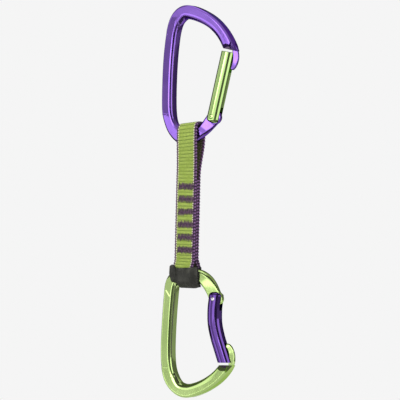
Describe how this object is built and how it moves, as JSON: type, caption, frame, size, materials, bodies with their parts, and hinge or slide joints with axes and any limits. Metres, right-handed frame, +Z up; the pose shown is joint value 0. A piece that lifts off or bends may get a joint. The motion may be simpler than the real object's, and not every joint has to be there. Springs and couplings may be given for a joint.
{
  "type": "climbing quickdraw",
  "caption": "Climbing quickdraw: a straight-gate and a bent-gate carabiner joined by a sewn tape sling, with a rubber keeper on the rope end.",
  "frame": {"origin": "inside the top of the upper carabiner, where it sits on a bolt hanger", "axes": "+Z up along the hanging quickdraw, -X towards the carabiners' spines, +X towards their gates, Y through their thickness"},
  "size_m": [0.0618, 0.017, 0.2756],
  "materials": {
    "purple_anodised": "bright purple anodised",
    "green_anodised": "bright light green anodised",
    "green_gate": "bright green anodised",
    "purple_gate": "bright purple anodised",
    "tape": "ribbed woven tape with dark purple edges",
    "thread": "dark purple thread",
    "rubber": "matte black",
    "rivet_steel": "plain rivet",
    "spring_steel": "drawn wire"
  },
  "bodies": {
    "upper_carabiner": {"upper_body": "purple_anodised", "upper_gate_pin": "rivet_steel"},
    "upper_gate": {"upper_gate": "green_gate", "upper_gate_spring": "spring_steel"},
    "upper_plunger": {"upper_gate_plunger": "rivet_steel"},
    "sling": {"sling_tape": "tape", "keeper": "rubber", "bar_tack_1": "thread", "bar_tack_2": "thread", "bar_tack_3": "thread", "bar_tack_4": "thread", "bar_tack_5": "thread", "bar_tack_6": "thread"},
    "lower_carabiner": {"lower_body": "green_anodised", "lower_gate_pin": "rivet_steel"},
    "lower_gate": {"lower_gate": "purple_gate", "lower_gate_spring": "spring_steel"},
    "lower_plunger": {"lower_gate_plunger": "rivet_steel"}
  },
  "joints": [
    {"name": "upper_gate_hinge", "type": "hinge", "parent": "upper_carabiner", "child": "upper_gate", "pos_m": [0.0194, 0, -0.0686], "axis": [0, -1, 0], "range_deg": [0, 42], "stiffness_Nm_per_rad": 0.3, "springref_deg": -25.78},
    {"name": "upper_plunger_slide", "type": "slide", "parent": "upper_gate", "child": "upper_plunger", "axis": [0.2205, 0, 0.9754], "range_m": [0, 0.00225], "deforming": ["upper_gate_spring"]},
    {"name": "sling_swing", "type": "hinge", "parent": "upper_carabiner", "child": "sling", "pos_m": [0, 0, -0.082], "axis": [1, 0, 0], "range_deg": [-20, 20]},
    {"name": "lower_swing", "type": "hinge", "parent": "sling", "child": "lower_carabiner", "pos_m": [0, 0, -0.1795], "axis": [1, 0, 0], "range_deg": [-25, 25]},
    {"name": "lower_gate_hinge", "type": "hinge", "parent": "lower_carabiner", "child": "lower_gate", "pos_m": [0.0242, 0, -0.1954], "axis": [0, 1, 0], "range_deg": [0, 42], "stiffness_Nm_per_rad": 0.3, "springref_deg": -25.78},
    {"name": "lower_plunger_slide", "type": "slide", "parent": "lower_gate", "child": "lower_plunger", "axis": [-0.0917, 0, -0.9958], "range_m": [0, 0.00225], "deforming": ["lower_gate_spring"]}
  ],
  "couplings": [
    {"joint": "upper_plunger_slide", "follows": "upper_gate_hinge", "m_per_rad": 0.0030012},
    {"joint": "lower_plunger_slide", "follows": "lower_gate_hinge", "m_per_rad": 0.0030012}
  ]
}
